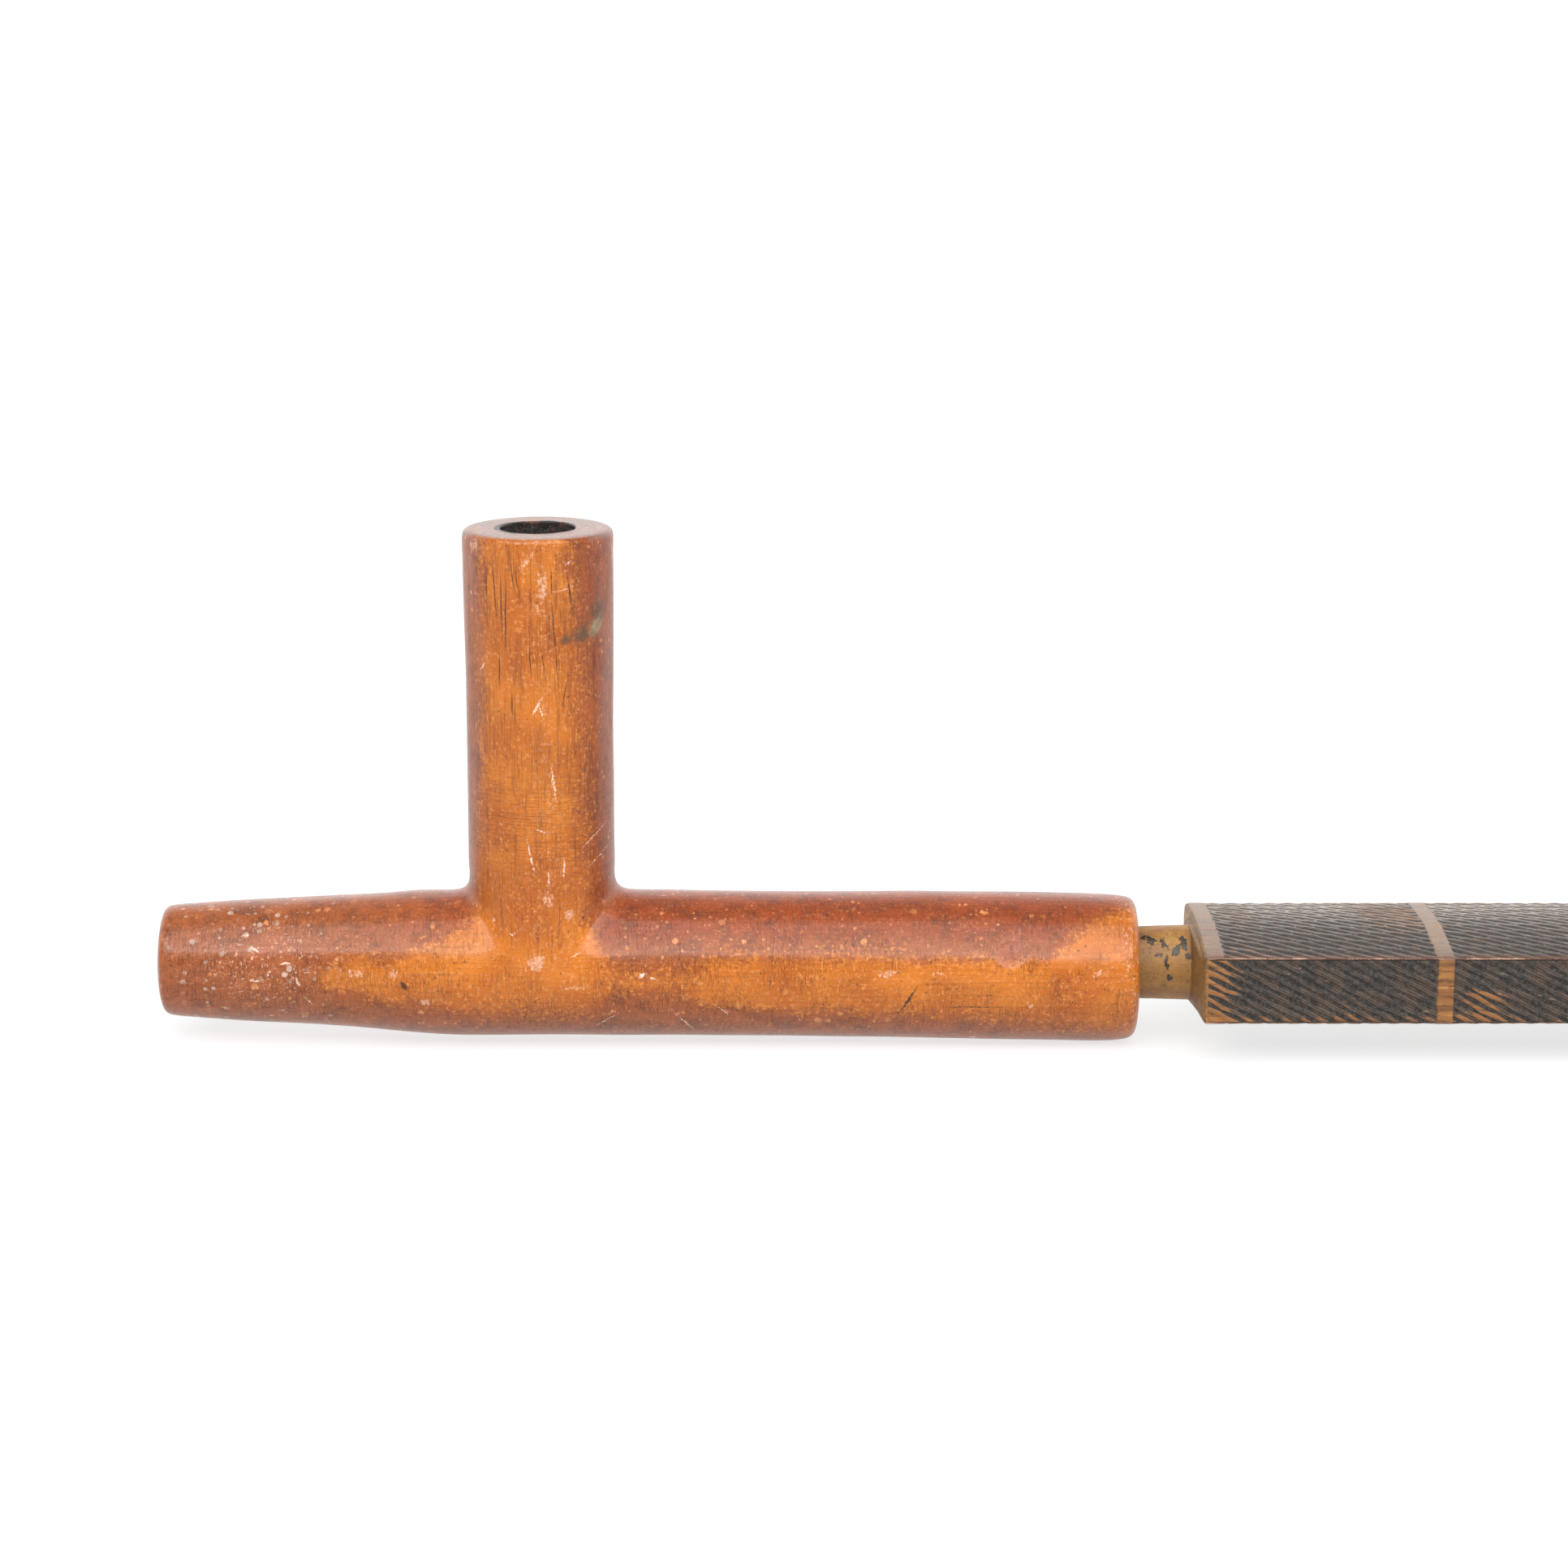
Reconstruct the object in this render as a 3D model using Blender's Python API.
"""A T-shaped stone pipe: a carved stone head, the carbon crust in its bowl, and a flat wooden stem.

Metres, +Z up. The bowl stands up and the stem runs along +X. The origin is under the middle of
the whole pipe, at the height of the lowest point of the head's belly.
"""

import math

import bmesh
import bpy

# The head, measured from the point where the bowl's axis crosses the shank's axis.
PROW_LENGTH = 0.0806
SHANK_LENGTH = 0.1253
BOWL_HEIGHT = 0.0931
TEE_RADIUS = 0.0155
# Stations of the belly on each side of the bowl: x, radius, height of the centre above the axis.
PROW_STATIONS = (
    (-0.0370, 0.01430, 0.0004),
    (-0.0500, 0.01355, 0.0005),
    (-0.0640, 0.01290, 0.0005),
    (-0.0745, 0.01215, 0.0005),
)
SHANK_STATIONS = (
    (0.0400, 0.01540, -0.0002),
    (0.0600, 0.01545, -0.0003),
    (0.0800, 0.01563, -0.0004),
    (0.1000, 0.01582, -0.0008),
    (0.1180, 0.01567, -0.0011),
)
# Stations of the bowl's column: height above the shank's axis, radius.
COLUMN_STATIONS = ((0.0320, 0.01542), (0.0500, 0.01553), (0.0700, 0.01572), (0.0880, 0.01585))

# The soft crease where the two round bodies meet. Each ring beside it lies some crease widths
# out, and keeps a share of the mitre's curve.
CREASE_WIDTH = 0.0078
BELLY_CREASE_RINGS = ((0.0, 1.0), (1.0, 0.93), (2.1, 0.75))
COLUMN_CREASE_RINGS = ((1.0, 0.93), (2.0, 0.55))

# Rounded ends: how many rounding radii each ring lies back from the end, and is drawn inwards.
PROW_ROUNDING = 0.0026
PROW_DOME = 0.0004
SHANK_ROUNDING = 0.0028
TIP_RINGS = ((0.55, 0.1), (0.0, 0.75), (0.0, 2.0))
RIM_ROUNDING = 0.0018
RIM_RINGS = ((1.8, 0.0), (0.35, 0.05), (0.0, 0.6), (0.0, 2.0))

# The control mesh has this many points in a ring, and the column spans this many of them on
# each side of the belly's top line.
AROUND = 16
SADDLE = 3

# The holes in the head.
CHAMBER_RADIUS = 0.0077
CHAMBER_TAPER = 0.0013
CHAMBER_DEPTH = 0.0620
DRAFT_RADIUS = 0.0030
SOCKET_GAP = 0.0003
DRILL_SIDES = 32
THROUGH = 0.004

# The carbon crust that lines the chamber.
CAKE_GAP = 0.0003
CAKE_THICKNESS = 0.0011
CAKE_DEPTH = 0.0480
CAKE_SETBACK = 0.0008
CAKE_SIDES = 24

# The stem, measured from the head's end face. Its first quarter is parallel, then it tapers to
# the far width and thickness and blends into a round nib with a slight lip.
TENON_REACH = 0.0300
TENON_SHOWS = 0.0121
TENON_TIP_RADIUS = 0.00660
TENON_FACE_RADIUS = 0.00765
TENON_ROOT_RADIUS = 0.00800
TENON_CHAMFER = 0.0008
SHOULDER_DOME = 0.0011
STEM_LENGTH = 0.5382
STEM_HALF_WIDTH = 0.0228
STEM_HALF_EDGE = 0.00725
STEM_CROWN = 0.0015
STEM_CORNER = 0.0006
FAR_HALF_WIDTH = 0.0190
FAR_HALF_EDGE = 0.0058
NIB_LENGTH = 0.0300
NIB_BLEND = 0.0240
NIB_RADIUS = 0.0058
NIB_LIP = 0.0007
MOUTH_ROUNDING = 0.0012
AIRWAY_RADIUS = 0.00275
# Points of the section: three up each edge, then seven across each face, whose middle is flat.
SECTION_POINTS = 20
FLAT_SHARE = 0.33
FACE_SHARES = (1.0, 0.66, FLAT_SHARE, 0.0, -FLAT_SHARE, -0.66, -1.0)
LOFT_SHARES = (0.25, 0.5, 0.75, 1.0)
PARALLEL_SHARE = 0.25
CREASE_ANGLE = math.radians(35)

BOWL_X = PROW_LENGTH - (PROW_LENGTH + SHANK_LENGTH + TENON_SHOWS + STEM_LENGTH) / 2
# A subdivided ring ends up inside its control points by this factor.
RING_SHRINK = (4 + 2 * math.cos(2 * math.pi / AROUND)) / 6
SADDLE_SHARE = math.cos(2 * math.pi * SADDLE / AROUND)


def clear_scene():
    for old in list(bpy.data.objects):
        bpy.data.objects.remove(old, do_unlink=True)


def add_material(name, color, roughness):
    material = bpy.data.materials.new(name)
    material.use_nodes = True
    shader = material.node_tree.nodes["Principled BSDF"]
    shader.inputs["Base Color"].default_value = (*color, 1.0)
    shader.inputs["Roughness"].default_value = roughness
    shader.inputs["Metallic"].default_value = 0.0
    return material


def add_object(name, bm, parent, location=(0.0, 0.0, 0.0)):
    mesh = bpy.data.meshes.new(name)
    bm.to_mesh(mesh)
    bm.free()
    mesh.shade_smooth()
    obj = bpy.data.objects.new(name, mesh)
    bpy.context.scene.collection.objects.link(obj)
    obj.parent = parent
    obj.location = location
    return obj


def add_empty(name, parent=None, location=(0.0, 0.0, 0.0)):
    empty = bpy.data.objects.new(name, None)
    bpy.context.scene.collection.objects.link(empty)
    empty.parent = parent
    empty.location = location
    return empty


def circle(radius, count):
    """Points (a, b) of a circle, anticlockwise from the first axis."""
    turns = [2 * math.pi * k / count for k in range(count)]
    return [(radius * math.cos(turn), radius * math.sin(turn)) for turn in turns]


def upright(profile, count):
    """Rings about the Z axis, from (radius, height) pairs."""
    return [[(a, b, height) for a, b in circle(radius, count)] for radius, height in profile]


def lying(profile, count):
    """Rings about the X axis, from (radius, x) pairs."""
    return [[(x, a, b) for a, b in circle(radius, count)] for radius, x in profile]


def bridge(bm, first, second):
    count = len(first)
    for k in range(count):
        after = (k + 1) % count
        bm.faces.new((first[k], first[after], second[after], second[k]))


def loft(rings, capped=True):
    """A closed body through rings of equal length. Without caps, the last ring joins the first."""
    bm = bmesh.new()
    loops = [[bm.verts.new(point) for point in ring] for ring in rings]
    for first, second in zip(loops, loops[1:]):
        bridge(bm, first, second)
    if capped:
        bm.faces.new(loops[0])
        bm.faces.new(loops[-1])
    else:
        bridge(bm, loops[-1], loops[0])
    bmesh.ops.recalc_face_normals(bm, faces=bm.faces)
    return bm


# ---- The stone head ----


def level(value):
    """A place along an axis that is the same all round a ring."""
    return lambda turn: value


def belly_ring(bm, x_of, radius, lift):
    """A ring about the shank's axis. x_of gives a point's x from its turn away from the top."""
    ring = []
    reach = radius / RING_SHRINK
    for k in range(AROUND):
        turn = 2 * math.pi * k / AROUND
        ring.append(bm.verts.new((x_of(turn), reach * math.sin(turn), lift + reach * math.cos(turn))))
    return ring


def column_ring(bm, height_of, radius):
    """A ring about the bowl's axis, in step with the open edge of the tee."""
    ring = []
    reach = radius / RING_SHRINK
    for k in range(AROUND):
        turn = 2 * math.pi * (k - SADDLE) / AROUND
        ring.append(bm.verts.new((reach * math.cos(turn), reach * math.sin(turn), height_of(turn))))
    return ring


def beside_mitre(sign, widths, share):
    """The x of a belly ring beside the crease: it follows the mitre, and is straight below it."""
    start = widths * CREASE_WIDTH
    return lambda turn: sign * (start + share * TEE_RADIUS * max(math.cos(turn), SADDLE_SHARE))


def above_mitre(widths, share):
    """The height of a column ring above the crease."""
    start = widths * CREASE_WIDTH
    return lambda turn: start + share * TEE_RADIUS * max(abs(math.cos(turn)), SADDLE_SHARE)


def belly_side(bm, sign, stations, end_x, rounding, dome):
    """The rings on one side of the column, from its crease outward, then the closed end."""
    rings = []
    for widths, share in BELLY_CREASE_RINGS:
        rings.append(belly_ring(bm, beside_mitre(sign, widths, share), TEE_RADIUS, 0.0))
    for x, radius, lift in stations:
        rings.append(belly_ring(bm, level(x), radius, lift))
    end_radius = stations[-1][1]
    end_lift = stations[-1][2]
    for back, inset in TIP_RINGS:
        x = end_x - sign * back * rounding
        rings.append(belly_ring(bm, level(x), end_radius - inset * rounding, end_lift))
    for point in rings[-2]:
        point.co.x -= sign * dome
    for first, second in zip(rings, rings[1:]):
        bridge(bm, first, second)
    bm.faces.new(rings[-1])
    return rings[0]


def saddle_ring(bm):
    """The belly's middle ring. Its two top corners stand straight up under the column's sides."""
    ring = belly_ring(bm, level(0.0), TEE_RADIUS, 0.0)
    ring[SADDLE].co.y = TEE_RADIUS / RING_SHRINK
    ring[-SADDLE].co.y = -TEE_RADIUS / RING_SHRINK
    for point in (ring[0], *ring[1:SADDLE], *ring[1 - SADDLE :]):
        bm.verts.remove(point)
    return ring


def open_tee(bm, prow_ring, middle_ring, shank_ring):
    """Joins the belly below the column, and returns the open edge that the column grows from."""
    for first, second in ((prow_ring, middle_ring), (middle_ring, shank_ring)):
        for k in range(SADDLE, AROUND - SADDLE):
            bm.faces.new((first[k], first[k + 1], second[k + 1], second[k]))
    shank_side = [shank_ring[k] for k in range(-SADDLE, SADDLE + 1)]
    prow_side = [prow_ring[k] for k in range(SADDLE, -SADDLE - 1, -1)]
    return [*shank_side, middle_ring[SADDLE], *prow_side, middle_ring[-SADDLE]]


def grow_column(bm, edge):
    rings = [edge]
    for widths, share in COLUMN_CREASE_RINGS:
        rings.append(column_ring(bm, above_mitre(widths, share), TEE_RADIUS))
    for height, radius in COLUMN_STATIONS:
        rings.append(column_ring(bm, level(height), radius))
    rim_radius = COLUMN_STATIONS[-1][1]
    for down, inset in RIM_RINGS:
        height = BOWL_HEIGHT - down * RIM_ROUNDING
        rings.append(column_ring(bm, level(height), rim_radius - inset * RIM_ROUNDING))
    for first, second in zip(rings, rings[1:]):
        bridge(bm, first, second)
    bm.faces.new(rings[-1])


def head_cage():
    """The control mesh of the stone: a belly that is open on top, and a column from the opening."""
    bm = bmesh.new()
    prow_ring = belly_side(bm, -1, PROW_STATIONS, -PROW_LENGTH, PROW_ROUNDING, PROW_DOME)
    shank_ring = belly_side(bm, 1, SHANK_STATIONS, SHANK_LENGTH, SHANK_ROUNDING, 0.0)
    edge = open_tee(bm, prow_ring, saddle_ring(bm), shank_ring)
    grow_column(bm, edge)
    bmesh.ops.recalc_face_normals(bm, faces=bm.faces)
    return bm


def add_cutter(name, rings, target):
    cutter = add_object(name, loft(rings), target)
    cutter.hide_render = True
    cutter.display_type = "WIRE"
    cut = target.modifiers.new(name, "BOOLEAN")
    cut.operation = "DIFFERENCE"
    cut.solver = "EXACT"
    cut.object = cutter


def drill_head(head):
    """The tobacco chamber with the draft hole under it, then the shank's airway and socket."""
    floor = BOWL_HEIGHT - CHAMBER_DEPTH
    floor_radius = CHAMBER_RADIUS - CHAMBER_TAPER
    chamber = (
        (DRAFT_RADIUS, 0.0),
        (DRAFT_RADIUS, floor - (floor_radius - DRAFT_RADIUS)),
        (floor_radius, floor),
        (CHAMBER_RADIUS, BOWL_HEIGHT),
        (CHAMBER_RADIUS, BOWL_HEIGHT + THROUGH),
    )
    add_cutter("chamber_drill", upright(chamber, DRILL_SIDES), head)
    socket_floor = SHANK_LENGTH - TENON_REACH - 2 * SOCKET_GAP
    mouth_radius = TENON_FACE_RADIUS + SOCKET_GAP
    socket = (
        (DRAFT_RADIUS, DRAFT_RADIUS / 2),
        (DRAFT_RADIUS, socket_floor),
        (TENON_TIP_RADIUS + SOCKET_GAP, socket_floor + SOCKET_GAP),
        (mouth_radius, SHANK_LENGTH),
        (mouth_radius, SHANK_LENGTH + THROUGH),
    )
    add_cutter("shank_drill", lying(socket, DRILL_SIDES), head)


def add_head(root):
    head = add_object("pipe_head", head_cage(), root, (BOWL_X, 0.0, 0.0))
    smooth = head.modifiers.new("rounded_stone", "SUBSURF")
    smooth.levels = 1
    smooth.render_levels = 1
    drill_head(head)
    head.data.materials.append(add_material("red_stone", (0.52, 0.20, 0.08), 0.42))
    return head


# ---- The crust in the bowl ----


def add_cake(head):
    """A sleeve of hard carbon that follows the chamber's wall and its slight taper."""
    top = BOWL_HEIGHT - CAKE_SETBACK
    bottom = top - CAKE_DEPTH
    slope = CHAMBER_TAPER / CHAMBER_DEPTH
    wall_top = CHAMBER_RADIUS - CAKE_GAP - slope * CAKE_SETBACK
    wall_bottom = wall_top - slope * CAKE_DEPTH
    shoulder = top - CAKE_THICKNESS / 2
    profile = (
        (wall_bottom, bottom),
        (wall_top, shoulder),
        (wall_top - CAKE_THICKNESS / 2, top),
        (wall_top - CAKE_THICKNESS, shoulder),
        (wall_bottom - CAKE_THICKNESS, bottom),
    )
    cake = add_object("carbon_cake", loft(upright(profile, CAKE_SIDES), capped=False), head)
    cake.data.materials.append(add_material("carbon", (0.02, 0.017, 0.015), 0.95))


# ---- The wooden stem ----


def slab_section(half_width, half_edge):
    """The stem's cross-section: two flat edges and two crowned faces, with eased corners."""
    faces = []
    for share in FACE_SHARES:
        fall = max(abs(share), FLAT_SHARE) ** 2 - FLAT_SHARE**2
        height = half_edge + STEM_CROWN * (1 - fall / (1 - FLAT_SHARE**2))
        faces.append(((half_width - STEM_CORNER) * share, height))
    edge_heights = (STEM_CORNER - half_edge, 0.0, half_edge - STEM_CORNER)
    section = [(half_width, height) for height in edge_heights]
    section += faces
    section += [(-half_width, -height) for height in edge_heights]
    section += [(-y, -height) for y, height in faces]
    return section


def stem_ring(x, half_width, half_edge, radius=0.0, roundness=0.0):
    """One ring of the stem: the slab's section, drawn by its roundness towards a circle."""
    ring = []
    for k, (y, z) in enumerate(slab_section(half_width, half_edge)):
        turn = 2 * math.pi * (k - 1) / SECTION_POINTS
        round_y = radius * math.cos(turn)
        round_z = radius * math.sin(turn)
        ring.append((x, y + roundness * (round_y - y), z + roundness * (round_z - z)))
    return ring


def round_ring(x, radius):
    return stem_ring(x, STEM_HALF_WIDTH, STEM_HALF_EDGE, radius, 1.0)


def tenon_rings():
    return [
        round_ring(-TENON_REACH, TENON_TIP_RADIUS - TENON_CHAMFER),
        round_ring(TENON_CHAMFER - TENON_REACH, TENON_TIP_RADIUS),
        round_ring(0.0, TENON_FACE_RADIUS),
        round_ring(TENON_SHOWS - SHOULDER_DOME, TENON_ROOT_RADIUS),
    ]


def slab_rings(start, stop):
    rings = [stem_ring(start, STEM_HALF_WIDTH, STEM_HALF_EDGE)]
    for share in LOFT_SHARES:
        taper = (share - PARALLEL_SHARE) / (1 - PARALLEL_SHARE)
        half_width = STEM_HALF_WIDTH + taper * (FAR_HALF_WIDTH - STEM_HALF_WIDTH)
        half_edge = STEM_HALF_EDGE + taper * (FAR_HALF_EDGE - STEM_HALF_EDGE)
        rings.append(stem_ring(start + share * (stop - start), half_width, half_edge))
    return rings


def nib_rings(start, mouth):
    rings = []
    for share in LOFT_SHARES:
        roundness = (1 - math.cos(math.pi * share)) / 2
        x = start + share * NIB_BLEND
        rings.append(stem_ring(x, FAR_HALF_WIDTH, FAR_HALF_EDGE, NIB_RADIUS, roundness))
    rings.append(round_ring(mouth - NIB_LENGTH / 4, NIB_RADIUS - NIB_LIP))
    rings.append(round_ring(mouth - 2 * MOUTH_ROUNDING, NIB_RADIUS))
    rings.append(round_ring(mouth - MOUTH_ROUNDING / 3, NIB_RADIUS - MOUTH_ROUNDING / 6))
    rings.append(round_ring(mouth, NIB_RADIUS - MOUTH_ROUNDING))
    return rings


def add_stem(head):
    """The stem's own origin is on the tenon's axis, at the head's end face."""
    axis = add_empty("stem_axis", head, (SHANK_LENGTH, 0.0, 0.0))
    mouth = TENON_SHOWS + STEM_LENGTH
    slab_stop = mouth - NIB_LENGTH - NIB_BLEND
    rings = tenon_rings() + slab_rings(TENON_SHOWS, slab_stop) + nib_rings(slab_stop, mouth)
    stem = add_object("stem", loft(rings), axis)
    airway = ((AIRWAY_RADIUS, -TENON_REACH - THROUGH), (AIRWAY_RADIUS, mouth + THROUGH))
    add_cutter("airway_drill", lying(airway, SECTION_POINTS), stem)
    stem.data.set_sharp_from_angle(angle=CREASE_ANGLE)
    stem.data.materials.append(add_material("branded_wood", (0.12, 0.09, 0.07), 0.5))


def rest_on_ground(root, belly):
    """Lifts the whole pipe until the lowest point of the head's belly is at height zero."""
    bpy.context.view_layer.update()
    shaped = belly.evaluated_get(bpy.context.evaluated_depsgraph_get())
    root.location.z = -min((shaped.matrix_world @ vertex.co).z for vertex in shaped.data.vertices)


def main():
    clear_scene()
    root = add_empty("pipe")
    head = add_head(root)
    add_cake(head)
    add_stem(head)
    rest_on_ground(root, head)


main()
